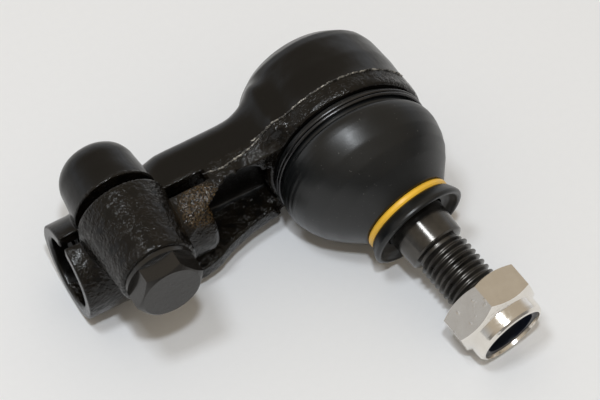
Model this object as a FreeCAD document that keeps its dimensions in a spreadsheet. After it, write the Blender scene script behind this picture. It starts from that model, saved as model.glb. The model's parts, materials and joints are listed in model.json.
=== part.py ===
import FreeCAD, Part
import Sketcher
import math
import os

# Tie rod end: a forged housing (ball cup, arm and split clamp) that carries a ball stud in a
# spring-loaded plastic bearing, under a rubber boot, with a lock nut on the stud and a pinch
# bolt through the clamp. Millimetres.
#
# Each piece is drawn in the frame of the ball: origin at the ball's centre, +X from the clamp to
# the cup, the cup's axis along Y with its mouth towards -Y, +Z up on the side of the clamp lugs.
# The pieces on the stud are drawn along -Y too and tilted afterwards. At the end everything is
# turned and lowered together until it lies on the floor on clamp, cup and nut.

V = FreeCAD.Vector
ORIGIN = V(0, 0, 0)
X_AXIS = V(1, 0, 0)
Y_AXIS = V(0, 1, 0)
Z_AXIS = V(0, 0, 1)
FULL_TURN = 360

SIZES = [
    ("ball_dia", 22.0, "ball of the stud"),
    ("ball_gap", 0.05, "running clearance of the ball in its seats"),
    ("neck_dia", 12.4, "stud behind the ball"),
    ("collar_at", 19.0, "large end of the taper, from the ball's centre"),
    ("taper_end", 36.6, "small end of the taper"),
    ("taper_end_dia", 13.3, "diameter at the small end of the taper"),
    ("taper_slope", 0.05, "radius lost per millimetre of taper (1:10 on diameter)"),
    ("relief_dia", 10.2, "undercut between taper and thread, and thread root"),
    ("relief_len", 1.4, "length of that undercut"),
    ("stud_end", 57.2, "end of the stud"),
    ("stud_thread_dia", 12.0, "M12 fine thread"),
    ("stud_pitch", 1.5, "its pitch"),
    ("thread_depth", 0.92, "radial depth of the stud's thread"),
    ("thread_gap", 0.05, "radial clearance between nut and stud thread"),
    ("swing_side", 9.65, "tilt of the stud at rest, away from the clamp"),
    ("swing_down", 12.24, "tilt of the stud at rest, away from the lugs"),
    ("cup_front", 6.4, "front face of the cup, ahead of the ball's centre"),
    ("band_width", 4.5, "rough band between front face and forging line"),
    ("band_dia", 38.3, "largest diameter of the cup"),
    ("cup_dia", 37.9, "cup behind the band"),
    ("cup_shoulder", 7.4, "where the cup's back starts to close in"),
    ("lip_start", 12.8, "start of the crimped lip"),
    ("lip_start_dia", 34.4, "outer diameter there"),
    ("cup_back", 15.4, "back of the crimped lip"),
    ("lip_dia", 29.0, "outer diameter of the lip's back edge"),
    ("lip_bore", 25.6, "hole inside the crimped lip"),
    ("cavity_dia", 28.0, "bearing cavity"),
    ("cavity_front", 2.6, "front end of the straight cavity"),
    ("mouth_dia", 20.6, "mouth of the cup round the stud"),
    ("mouth_depth", 4.8, "where the mouth is narrowest"),
    ("mouth_flare", 27.0, "mouth diameter at the spigot's end"),
    ("spigot_len", 3.6, "spigot that holds the boot"),
    ("spigot_dia", 32.6, "lip of the spigot"),
    ("groove_dia", 30.6, "groove behind the lip, for the boot's bead"),
    ("groove_len", 2.4, "width of that groove"),
    ("cover_dia", 30.8, "closing disc at the back of the cavity"),
    ("cover_seat", 11.2, "shoulder that the disc rests on"),
    ("cover_thick", 2.0, "thickness of the disc"),
    ("arm_line", 4.2, "arm axis and forging plane, ahead of the ball's centre"),
    ("arm_len", 68.1, "ball's centre to the clamp's end face"),
    ("arm_dia", 22.4, "clamp tube"),
    ("arm_back", 8.3, "flat back of the arm, behind the ball's centre"),
    ("arm_round", 5.0, "rounding of the arm's back corners"),
    ("rod_thread_dia", 16.0, "M16 fine thread for the tie rod"),
    ("rod_pitch", 1.5, "its pitch"),
    ("rod_depth", 30.0, "depth of the socket"),
    ("rod_thread_len", 19.5, "length of its thread"),
    ("rod_pilot_dia", 16.3, "plain bore in front of the thread"),
    ("rod_pilot", 4.0, "its depth from the end face"),
    ("barrel_dia", 18.8, "wall left round the socket inside the pocket"),
    ("rod_mouth_dia", 17.0, "countersink at the socket's mouth"),
    ("slot_width", 2.7, "saw cut of the clamp"),
    ("slot_len", 34.5, "its length from the end face"),
    ("lug_from_end", 14.25, "pinch bolt axis from the end face"),
    ("lug_height", 13.6, "pinch bolt axis above the clamp axis"),
    ("front_lug_dia", 21.5, "front lug at the forging plane"),
    ("front_taper", 5.4, "draft of the front lug, degrees"),
    ("rear_lug_dia", 20.0, "rear lug at the forging plane"),
    ("front_lug", 19.0, "front lug, from the forging plane"),
    ("rear_lug", 15.2, "rear lug, from the forging plane"),
    ("rear_taper", 6.0, "draft of the rear lug, degrees"),
    ("rear_round", 6.0, "rounded end of the rear lug"),
    ("bolt_dia", 10.0, "pinch bolt M10"),
    ("bolt_hole_dia", 10.4, "clearance hole in the front lug"),
    ("bolt_pitch", 1.5, "bolt thread"),
    ("bolt_thread_depth", 0.9, "radial depth of the bolt thread"),
    ("bolt_af", 14.0, "hexagon of the bolt, across flats"),
    ("bolt_clocking", 7.0, "turn of that hexagon from corner-on to the arm, degrees"),
    ("bolt_head", 5.8, "height of its head, washer face included"),
    ("bolt_washer_dia", 16.4, "washer face under the hexagon"),
    ("bolt_washer", 1.2, "its thickness"),
    ("bolt_len", 31.0, "under the head"),
    ("flange_top", 7.6, "upper face of the arm's lower flange, below the arm axis"),
    ("web_floor", -0.6, "front of the arm's web, behind the ball's centre"),
    ("boot_clear_dia", 42.0, "arm cut back round the boot"),
    ("wire_dia", 0.84, "wire of the boot's clamp ring"),
    ("wire_ring_dia", 36.6, "its coil, on the wire's centre"),
    ("wire_at", 7.5, "first turn, ahead of the ball's centre"),
    ("wire_pitch", 0.92, "distance between its turns"),
    ("wire_turns", 2.3, "turns of the ring"),
    ("cuff_dia", 35.7, "boot under the clamp ring"),
    ("boot_dia", 38.2, "widest part of the boot"),
    ("boot_wall", 1.8, "rubber thickness"),
    ("boot_tip", 30.7, "end of the boot's lip on the stud"),
    ("boot_tip_dia", 23.4, "outer diameter of that lip"),
    ("boot_bore", 14.4, "hole of the boot round the taper"),
    ("ring_at", 26.5, "coloured neck ring, along the stud"),
    ("ring_dia", 21.4, "its outer diameter"),
    ("ring_width", 1.5, "its width"),
    ("ring_thick", 1.0, "its thickness"),
    ("nut_turns_on", 8.4, "pitches from the thread's start to the nut"),
    ("nut_af", 19.0, "lock nut, across flats"),
    ("nut_clocking", 47.0, "turn of its hexagon, degrees"),
    ("nut_hex", 7.8, "height of its hexagon"),
    ("nut_height", 12.0, "whole height"),
    ("nut_collar_dia", 17.2, "collar that holds the insert"),
    ("nut_mouth_dia", 14.8, "hole in the collar's rolled edge"),
    ("insert_dia", 15.6, "nylon insert"),
    ("insert_bore", 12.1, "its hole"),
    ("insert_height", 2.4, "its height"),
    ("insert_gap", 0.05, "clearance of the insert in the nut"),
]


# ---------------------------------------------------------------- numbers tied to the sheet

class Size:
    """A value from the sheet with the expression that keeps a feature bound to it."""

    def __init__(self, value, text):
        self.value = float(value)
        self.text = text

    def __add__(self, other):
        other = size(other)
        return Size(self.value + other.value, "(%s + %s)" % (self.text, other.text))

    def __sub__(self, other):
        other = size(other)
        return Size(self.value - other.value, "(%s - %s)" % (self.text, other.text))

    def __mul__(self, other):
        other = size(other)
        return Size(self.value * other.value, "(%s * %s)" % (self.text, other.text))

    def __truediv__(self, other):
        other = size(other)
        return Size(self.value / other.value, "(%s / %s)" % (self.text, other.text))

    def __neg__(self):
        return Size(-self.value, "(-%s)" % self.text)


def size(number):
    """A Size from a Size or a plain number."""
    if isinstance(number, Size):
        return number
    return Size(number, "%.6g" % number)


class Sheet:
    """The driving dimensions: a spreadsheet whose aliases read as Size values."""

    def __init__(self, document, rows):
        self.cells = document.addObject("Spreadsheet::Sheet", "Sizes")
        for row, (alias, value, note) in enumerate(rows, start=1):
            self.cells.set("A%d" % row, note)
            self.cells.set("B%d" % row, "%g" % value)
            self.cells.setAlias("B%d" % row, alias)
        document.recompute()

    def __getattr__(self, alias):
        return Size(getattr(self.cells, alias), "Sizes." + alias)


doc = FreeCAD.newDocument("tie_rod_end")
dim = Sheet(doc, SIZES)


# ---------------------------------------------------------------- drawing helpers

def new_body(label):
    body = doc.addObject("PartDesign::Body", label)
    body.Label = label
    return body


def new_sketch(body, name, role, shift=(0, 0, 0)):
    """A sketch on one of the body's origin planes, shifted in that plane's own axes."""
    plane = next(item for item in body.Origin.OriginFeatures if item.Role == role)
    sketch = body.newObject("Sketcher::SketchObject", name)
    sketch.AttachmentSupport = [(plane, "")]
    sketch.MapMode = "FlatFace"
    for axis, amount in zip("xyz", shift):
        sketch.setExpression("AttachmentOffset.Base." + axis, size(amount).text)
    return sketch


def pin_coordinate(sketch, kind, geometry, point, distance):
    """Hold one coordinate of a sketch point at a distance from the sketch's origin."""
    if abs(distance.value) < 1e-9:
        axis = -2 if kind == "DistanceX" else -1
        sketch.addConstraint(Sketcher.Constraint("PointOnObject", geometry, point, axis))
        return
    number = sketch.addConstraint(
        Sketcher.Constraint(kind, -1, 1, geometry, point, distance.value))
    sketch.setExpression("Constraints[%d]" % number, distance.text)


def draw_outline(sketch, corners, bulges=None):
    """A closed outline through corners, each held at its own coordinates.

    bulges maps the number of a corner to a point that an arc to the next corner passes through.
    """
    corners = [(size(x), size(y)) for x, y in corners]
    places = [V(x.value, y.value, 0) for x, y in corners]
    count = len(corners)
    lines = []
    for index in range(count):
        start, end = places[index], places[(index + 1) % count]
        if bulges and index in bulges:
            lines.append(add_arc(sketch, start, V(*bulges[index], 0), end))
        else:
            lines.append((sketch.addGeometry(Part.LineSegment(start, end), False), 1, 2))
    for index in range(count):
        line, _, end = lines[index]
        following, start, _ = lines[(index + 1) % count]
        sketch.addConstraint(Sketcher.Constraint("Coincident", line, end, following, start))
    for (line, start, _), (x, y) in zip(lines, corners):
        pin_coordinate(sketch, "DistanceX", line, start, x)
        pin_coordinate(sketch, "DistanceY", line, start, y)


def add_arc(sketch, start, through, end):
    """An arc of fixed radius, drawn counter-clockwise; returns the numbers of its two ends."""
    counter_clockwise = (through - start).cross(end - through).z > 0
    first, last = (start, end) if counter_clockwise else (end, start)
    number = sketch.addGeometry(Part.Arc(first, through, last), False)
    sketch.addConstraint(Sketcher.Constraint("Radius", number, sketch.Geometry[number].Radius))
    return (number, 1, 2) if counter_clockwise else (number, 2, 1)


def draw_circle(sketch, x, y, diameter):
    x, y, diameter = size(x), size(y), size(diameter)
    circle = Part.Circle(V(x.value, y.value, 0), Z_AXIS, diameter.value / 2)
    geometry = sketch.addGeometry(circle, False)
    number = sketch.addConstraint(Sketcher.Constraint("Diameter", geometry, diameter.value))
    sketch.setExpression("Constraints[%d]" % number, diameter.text)
    pin_coordinate(sketch, "DistanceX", geometry, 3, x)
    pin_coordinate(sketch, "DistanceY", geometry, 3, y)


def draw_hexagon(sketch, across_flats, clocking):
    """A hexagon round the sketch's origin, its first corner turned from the x axis."""
    radius = across_flats / math.sqrt(3)
    corners = []
    for corner in range(6):
        angle = math.radians(60 * corner + clocking.value)
        corners.append((radius * round(math.cos(angle), 9), radius * round(math.sin(angle), 9)))
    draw_outline(sketch, corners)


def new_feature(body, kind, name, sketch, **settings):
    feature = body.newObject("PartDesign::" + kind, name)
    feature.Profile = sketch
    for setting, value in settings.items():
        if isinstance(value, Size):
            feature.setExpression(setting, value.text)
        else:
            setattr(feature, setting, value)
    sketch.Visibility = False
    doc.recompute()
    return feature


def volume_of(body):
    """Volume of the body so far, 0 before its first solid."""
    return 0 if body.Shape.isNull() else body.Shape.Volume


def turn(body, name, corners, kind="Revolution", shift=(0, 0, 0), bulges=None):
    """Revolve an outline (radius, place along Y) about a line along Y: add it, or cut a Groove."""
    sketch = new_sketch(body, name + "_profile", "XY_Plane", shift)
    draw_outline(sketch, corners, bulges)
    return new_feature(body, kind, name, sketch, ReferenceAxis=(sketch, ["V_Axis"]), Angle=FULL_TURN)


def outer_groove(place, dia, depth, pitch):
    """Section of a 60 degree thread groove, cut into a shaft from just outside its crest."""
    lead = pitch / 16
    flank = math.tan(math.radians(30))
    root = pitch / 2 - pitch / 16 - depth * flank
    wide = pitch / 2 - pitch / 16 + lead * flank
    top = dia / 2 + lead
    bottom = dia / 2 - depth
    return [(top, place - wide), (top, place + wide), (bottom, place + root), (bottom, place - root)]


def inner_groove(place, dia, depth, pitch, gap):
    """Section of the matching groove, cut into a hole, wider than the thread it holds."""
    lead = pitch / 16
    flank = math.tan(math.radians(30))
    top = dia / 2 + gap
    root = pitch / 16 + gap - gap * flank
    bottom = dia / 2 - depth + gap * 2 - lead
    wide = root + (top - bottom) * flank
    return [(bottom, place - wide), (bottom, place + wide), (top, place + root), (top, place - root)]


def cut_thread(body, name, corners, pitch, length, shift=(0, 0, 0), axis="V_Axis"):
    """Cut a right-hand helical groove of the given section about an axis of its sketch."""
    sketch = new_sketch(body, name + "_profile", "XY_Plane", shift)
    if axis == "H_Axis":
        corners = [(y, x) for x, y in corners]
    draw_outline(sketch, corners)
    before = volume_of(body)
    feature = new_feature(body, "SubtractiveHelix", name, sketch, ReferenceAxis=(sketch, [axis]),
                          Mode=0, Growth=0, Angle=0, LeftHanded=False, Pitch=pitch, Height=length)
    if volume_of(body) > before - 1:
        raise RuntimeError(name + " cuts nothing")
    return feature


def edges_like(feature, test):
    """Names of the feature's edges that pass a test."""
    names = []
    for number, edge in enumerate(feature.Shape.Edges, start=1):
        if test(edge):
            names.append("Edge%d" % number)
    return names


def soften(body, name, base, test, radius):
    """Fillet the edges of a feature that pass a test."""
    edges = edges_like(base, test)
    if not edges:
        raise RuntimeError(name + " finds no edge")
    feature = body.newObject("PartDesign::Fillet", name)
    feature.Base = (base, edges)
    feature.setExpression("Radius", size(radius).text)
    doc.recompute()
    if not feature.isValid():
        raise RuntimeError(name + " failed")
    return feature


def half(amount):
    return amount / 2


def pad_or_cut(body, kind, name, sketch, length, reverse=False, **settings):
    """Pad or Pocket a sketch; a pocket that leaves the volume unchanged is an error."""
    before = volume_of(body)
    feature = new_feature(body, kind, name, sketch, Length=length, Reversed=reverse, **settings)
    if kind == "Pocket" and volume_of(body) > before - 0.1:
        raise RuntimeError(name + " cuts nothing")
    return feature


# ---------------------------------------------------------------- places, in the ball's frame

CLAMP_END = -dim.arm_len
LUG_X = CLAMP_END + dim.lug_from_end
FORGING_PLANE = -dim.arm_line
CUP_FRONT = -dim.cup_front
SPIGOT_END = CUP_FRONT - dim.spigot_len
BAND_BACK = CUP_FRONT + dim.band_width
SPRING_SEAT = dim.cover_seat - 2.8
THREAD_TOP = -(dim.taper_end + dim.relief_len)
STUD_THREAD_START = -(dim.stud_end + 1)
NUT_BACK = THREAD_TOP - dim.stud_pitch * dim.nut_turns_on
NUT_FRONT = NUT_BACK - dim.nut_height
INSERT_FRONT = NUT_FRONT + 0.8
INSERT_BACK = INSERT_FRONT + dim.insert_height
BOLT_SEAT = FORGING_PLANE - dim.front_lug
BOLT_END = BOLT_SEAT + dim.bolt_len
BOLT_THREAD_START = FORGING_PLANE - 3
ARM_START = CLAMP_END + 14
# places along the arm and how far it has spread there towards the cup
ARM_FLARE = [(-40.0, 0.0), (-24.5, 0.0), (-21.5, 0.25), (-19.0, 0.9), (-16.8, 2.1), (-15.0, 3.8), (-6.0, 3.8)]
RIM_START = -26.9
POCKET_MOUTH = 11.8
FLANGE_BEND = (-35.5, -12.9)
FLANGE_HOLLOW = (-26.0, -9.2)
FLANGE_ROOT = (-14.0, -7.5)


# ---------------------------------------------------------------- housing

def add_arm(body):
    """Round clamp tube that turns into a flat-backed arm, with a lower flange in front."""
    tube = new_sketch(body, "tube_section", "YZ_Plane", (0, 0, CLAMP_END))
    draw_circle(tube, FORGING_PLANE, 0, dim.arm_dia)
    pad_or_cut(body, "Pad", "tube", tube, dim.arm_len - 6)

    radius = half(dim.arm_dia)
    sections = [back_section(body, "round_section", ARM_START, FORGING_PLANE + radius, radius,
                             radius - 0.1)]
    for number, (place, spread) in enumerate(ARM_FLARE):
        sections.append(back_section(body, "arm_section_%d" % number, place, dim.arm_back + spread * 0.9,
                                     radius + spread, dim.arm_round))
    new_feature(body, "AdditiveLoft", "arm_back", sections[0], Sections=sections[1:], Ruled=True)

    flange = new_sketch(body, "flange_outline", "XY_Plane", (0, 0, -radius))
    draw_outline(flange, [(-54.0, -7.6), FLANGE_BEND, FLANGE_ROOT, (-8.0, FORGING_PLANE),
                          (-54.0, FORGING_PLANE)],
                 {0: (-44.5, -13.6), 1: FLANGE_HOLLOW})
    pad_or_cut(body, "Pad", "flange", flange, radius - dim.flange_top)


def back_section(body, name, place, back, top, radius):
    """Section of the arm behind the forging plane, with two rounded corners."""
    sketch = new_sketch(body, name, "YZ_Plane", (0, 0, place))
    bend = size(radius) * (1 - math.sqrt(0.5))
    draw_outline(sketch, [(FORGING_PLANE, -top), (back - radius, -top), (back, -top + radius),
                          (back, top - radius), (back - radius, top), (FORGING_PLANE, top)],
                 {1: ((back - bend).value, (-top + bend).value),
                  3: ((back - bend).value, (top - bend).value)})
    return sketch


def trim_front(body):
    """Cut the arm's front back to the flange's outline, and its top rim to a narrow slope."""
    outline = new_sketch(body, "front_outline", "XY_Plane", (0, 0, -half(dim.arm_dia) - 1))
    draw_outline(outline, [FLANGE_BEND, FLANGE_ROOT, (-4.0, FLANGE_ROOT[1]), (-4.0, -18.0),
                           (FLANGE_BEND[0], -18.0)], {0: FLANGE_HOLLOW})
    pad_or_cut(body, "Pocket", "front_trim", outline, dim.arm_dia + 2, True)
    slope = new_sketch(body, "rim_outline", "YZ_Plane", (0, 0, RIM_START))
    draw_outline(slope, [(FORGING_PLANE, 12.0), (FORGING_PLANE, 11.1), (FORGING_PLANE - 2.4, 10.1),
                         (FORGING_PLANE - 2.4, 3.0), (-18.0, 3.0), (-18.0, 12.0)])
    pad_or_cut(body, "Pocket", "rim_trim", slope, 20.0, True)


def add_lugs(body):
    """Two round lugs on the clamp, one each side of the forging plane."""
    shift = (LUG_X, FORGING_PLANE, dim.lug_height)
    foot = half(dim.front_lug_dia)
    end = foot - dim.front_lug * math.tan(math.radians(dim.front_taper.value))
    turn(body, "front_lug", [(0, 0), (foot, 0), (end, -dim.front_lug + 0.4), (end - 0.4, -dim.front_lug),
                             (0, -dim.front_lug)], shift=shift)
    foot = half(dim.rear_lug_dia)
    straight = dim.rear_lug - dim.rear_round
    end = foot - straight * math.tan(math.radians(dim.rear_taper.value))
    bend = dim.rear_round * (1 - math.sqrt(0.5))
    turn(body, "rear_lug", [(0, 0), (foot, 0), (end, straight), (end - dim.rear_round, dim.rear_lug),
                            (0, dim.rear_lug)],
         shift=shift, bulges={2: ((end - bend).value, (dim.rear_lug - bend).value)})


def cut_pocket(body):
    """Drafted pocket in the arm's front, under a thin top rim, from the clamp to the cup."""
    mouth = new_sketch(body, "pocket_mouth", "XZ_Plane", (0, 0, dim.arm_line + POCKET_MOUTH))
    draw_outline(mouth, [(-12.0, -dim.flange_top), (-43.0, -dim.flange_top), (-46.3, -3.4),
                         (-45.4, 3.0), (-27.5, 13.5), (-26.4, 11.2), (-20.4, 7.2), (-12.0, 4.0)],
                 {1: (-45.4, -6.5), 2: (-46.2, -0.2), 3: (-36.6, 9.4), 5: (-22.8, 10.6)})
    floor = new_sketch(body, "pocket_floor", "XZ_Plane", (0, 0, -dim.web_floor))
    draw_outline(floor, [(-12.0, -dim.flange_top), (-42.0, -dim.flange_top), (-44.3, -4.4),
                         (-43.6, 0.5), (-28.5, 9.0), (-26.6, 9.0), (-20.9, 5.2), (-12.0, 2.0)],
                 {1: (-43.7, -6.6), 2: (-44.2, -2.0), 3: (-37.5, 6.3), 5: (-23.2, 8.5)})
    new_feature(body, "SubtractiveLoft", "pocket", mouth, Sections=[floor], Ruled=True)


def add_barrel(body):
    """Closed end of the rod socket, standing in the pocket."""
    sketch = new_sketch(body, "barrel_section", "YZ_Plane", (0, 0, CLAMP_END + 16))
    draw_circle(sketch, FORGING_PLANE, 0, dim.barrel_dia)
    end = CLAMP_END + dim.rod_depth + 3.2
    pad = pad_or_cut(body, "Pad", "barrel", sketch, end - CLAMP_END - 16)
    soften(body, "barrel_round", pad,
           lambda edge: isinstance(edge.Curve, Part.Circle) and abs(edge.BoundBox.XMin - end.value) < 0.05
           and edge.BoundBox.XLength < 0.01, 2.0)


def clear_boot(body):
    """Cut the arm back where the boot stands in front of the cup."""
    turn(body, "boot_clearance", [(0, CUP_FRONT), (half(dim.boot_clear_dia), CUP_FRONT),
                                  (half(dim.boot_clear_dia), -40), (0, -40)], "Groove")


def add_cup(body):
    """Ball cup: spigot for the boot, rough band, drafted wall and crimped back lip."""
    turn(body, "cup", [
        (0, SPIGOT_END),
        (half(dim.spigot_dia), SPIGOT_END),
        (half(dim.spigot_dia), CUP_FRONT - dim.groove_len),
        (half(dim.groove_dia), CUP_FRONT - dim.groove_len + 0.3),
        (half(dim.groove_dia), CUP_FRONT),
        (half(dim.band_dia) - 0.4, CUP_FRONT),
        (half(dim.band_dia), CUP_FRONT + 0.8),
        (half(dim.band_dia), BAND_BACK),
        (half(dim.cup_dia), BAND_BACK + 0.6),
        (half(dim.cup_dia) - 0.2, dim.cup_shoulder - 3.2),
        (half(dim.cup_dia) - 0.6, dim.cup_shoulder),
        (half(dim.lip_start_dia) + 0.7, half(dim.cup_shoulder + dim.lip_start) + 0.7),
        (half(dim.lip_start_dia), dim.lip_start),
        (half(dim.lip_dia), dim.cup_back),
        (0, dim.cup_back),
    ])


def bore_cup(body):
    """Bearing cavity, seat of the closing disc and flared mouth."""
    cover_top = dim.cover_seat + dim.cover_thick
    turn(body, "cavity", [
        (0, dim.cup_back + 1),
        (half(dim.lip_bore), dim.cup_back + 1),
        (half(dim.lip_bore), cover_top),
        (half(dim.cover_dia), cover_top),
        (half(dim.cover_dia), dim.cover_seat),
        (half(dim.cavity_dia), dim.cover_seat),
        (half(dim.cavity_dia), -dim.cavity_front),
        (half(dim.mouth_dia), -dim.mouth_depth),
        (half(dim.mouth_flare), SPIGOT_END - 0.01),
        (0, SPIGOT_END - 0.01),
    ], "Groove")


def cut_rod_socket(body):
    """Socket for the tie rod: countersink, plain pilot bore, then the threaded bore."""
    pilot = half(dim.rod_pilot_dia)
    minor = half(dim.rod_thread_dia) - dim.thread_depth + dim.thread_gap * 2
    mouth = half(dim.rod_mouth_dia)
    pilot_end = CLAMP_END + dim.rod_pilot
    sketch = new_sketch(body, "socket_outline", "XY_Plane", (0, FORGING_PLANE, 0))
    draw_outline(sketch, [
        (CLAMP_END - 1, 0),
        (CLAMP_END - 1, mouth),
        (CLAMP_END, mouth),
        (CLAMP_END + mouth - pilot, pilot),
        (pilot_end, pilot),
        (pilot_end + pilot - minor, minor),
        (CLAMP_END + dim.rod_depth, minor),
        (CLAMP_END + dim.rod_depth + minor * 0.25, 0),
    ])
    new_feature(body, "Groove", "socket", sketch, ReferenceAxis=(sketch, ["H_Axis"]), Angle=FULL_TURN)
    section = inner_groove(pilot_end - dim.rod_pitch, dim.rod_thread_dia, dim.thread_depth,
                           dim.rod_pitch, dim.thread_gap)
    cut_thread(body, "socket_thread", section, dim.rod_pitch, dim.rod_thread_len, (0, FORGING_PLANE, 0),
               "H_Axis")


def cut_clamp(body):
    """Saw cut, clearance hole in the front lug and threaded hole in the rear lug."""
    slot = new_sketch(body, "slot_outline", "XY_Plane")
    near, far = FORGING_PLANE - half(dim.slot_width), FORGING_PLANE + half(dim.slot_width)
    end = CLAMP_END + dim.slot_len
    draw_outline(slot, [(CLAMP_END - 1, near), (end, near), (end, far), (CLAMP_END - 1, far)])
    pad_or_cut(body, "Pocket", "slot", slot, 40.0, True)

    clearance = new_sketch(body, "bolt_clearance", "XZ_Plane", (0, 0, dim.arm_line + dim.front_lug + 1))
    draw_circle(clearance, LUG_X, dim.lug_height, dim.bolt_hole_dia)
    pad_or_cut(body, "Pocket", "bolt_hole", clearance, dim.front_lug + 1)

    minor = dim.bolt_dia - dim.bolt_thread_depth * 2 + dim.thread_gap * 4
    tapping = new_sketch(body, "tapping_hole", "XZ_Plane", (0, 0, dim.arm_line))
    draw_circle(tapping, LUG_X, dim.lug_height, minor)
    pad_or_cut(body, "Pocket", "tapped_hole", tapping, dim.rear_lug + 1)
    section = inner_groove(BOLT_THREAD_START + half(dim.bolt_pitch), dim.bolt_dia, dim.bolt_thread_depth,
                           dim.bolt_pitch, dim.thread_gap)
    cut_thread(body, "lug_thread", section, dim.bolt_pitch, dim.rear_lug + 4,
               (LUG_X, 0, dim.lug_height))


def make_housing():
    body = new_body("housing")
    add_arm(body)
    trim_front(body)
    cut_pocket(body)
    add_barrel(body)
    clear_boot(body)
    add_lugs(body)
    add_cup(body)
    bore_cup(body)
    cut_rod_socket(body)
    cut_clamp(body)
    return body


# ---------------------------------------------------------------- inside the cup

def seat_ring(label, front, back, outside):
    """Plastic ring with a spherical hole for the ball, its outside given from back to front."""
    body = new_body(label)
    touch = half(dim.ball_dia) + dim.ball_gap
    middle = half(front + back)
    turn(body, "ring", [(other_leg(touch, back), back), *outside, (other_leg(touch, front), front)],
         bulges={len(outside) + 1: (other_leg(touch, middle).value, middle.value)})
    return body


def other_leg(long_side, leg):
    """Length of a right triangle's other leg."""
    value = math.sqrt(long_side.value ** 2 - leg.value ** 2)
    return Size(value, "sqrt(%s ^ 2 - %s ^ 2)" % (long_side.text, leg.text))


def make_front_seat():
    """Ring that the ball bears on at the mouth."""
    radius = half(dim.cavity_dia) - dim.ball_gap
    front, back = -dim.mouth_depth + 0.6, size(0.2)
    return seat_ring("front_seat", front, back, [
        (radius, back), (radius, -dim.cavity_front), (half(dim.mouth_dia) + 0.9, front)])


def make_pressure_seat():
    """Ring that the spring pushes onto the back of the ball."""
    radius = half(dim.cavity_dia) - dim.ball_gap
    return seat_ring("pressure_seat", SPRING_SEAT, size(0.7), [(radius, 0.7), (radius, SPRING_SEAT)])


def make_preload_spring():
    """Dished steel ring between the pressure seat and the closing disc."""
    body = new_body("preload_spring")
    outer = half(dim.cavity_dia) - 0.5
    inner = half(dim.cavity_dia) - 5.6
    turn(body, "ring", [
        (inner, dim.cover_seat - 1.2),
        (outer, SPRING_SEAT),
        (outer, SPRING_SEAT + 1.2),
        (inner, dim.cover_seat),
    ])
    return body


def make_end_cover():
    """Pressed disc held by the crimped lip, with a shallow raised centre."""
    body = new_body("end_cover")
    back = dim.cover_seat + dim.cover_thick
    turn(body, "disc", [
        (0, dim.cover_seat),
        (half(dim.cover_dia) - 0.05, dim.cover_seat),
        (half(dim.cover_dia) - 0.05, back),
        (half(dim.lip_bore) - 1.6, back),
        (half(dim.lip_bore) - 3.0, back + 0.9),
        (0, back + 0.9),
    ])
    return body


# ---------------------------------------------------------------- stud, nut and bolt

def make_ball_stud():
    """Ball, neck, 1:10 taper, undercut and threaded end in one forging."""
    body = new_body("ball_stud")
    ball = body.newObject("PartDesign::AdditiveSphere", "ball")
    ball.setExpression("Radius", half(dim.ball_dia).text)
    doc.recompute()
    small = half(dim.taper_end_dia)
    large = small + (dim.taper_end - dim.collar_at) * dim.taper_slope
    turn(body, "shank", [
        (0, 0),
        (half(dim.neck_dia), 0),
        (half(dim.neck_dia), -dim.collar_at + 4),
        (large, -dim.collar_at),
        (small, -dim.taper_end),
        (small - 0.4, -dim.taper_end - 0.35),
        (half(dim.relief_dia), -dim.taper_end - 0.7),
        (half(dim.relief_dia), THREAD_TOP),
        (half(dim.stud_thread_dia), THREAD_TOP - 0.9),
        (half(dim.stud_thread_dia), -dim.stud_end + 0.9),
        (half(dim.stud_thread_dia) - 0.9, -dim.stud_end),
        (0, -dim.stud_end),
    ])
    turn(body, "ball_flat", [(0, half(dim.ball_dia) - 0.5), (9, half(dim.ball_dia) - 0.5),
                             (9, dim.ball_dia), (0, dim.ball_dia)], "Groove")
    section = outer_groove(STUD_THREAD_START, dim.stud_thread_dia, dim.thread_depth, dim.stud_pitch)
    cut_thread(body, "thread", section, dim.stud_pitch, THREAD_TOP - STUD_THREAD_START + 0.2)
    return body


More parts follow.
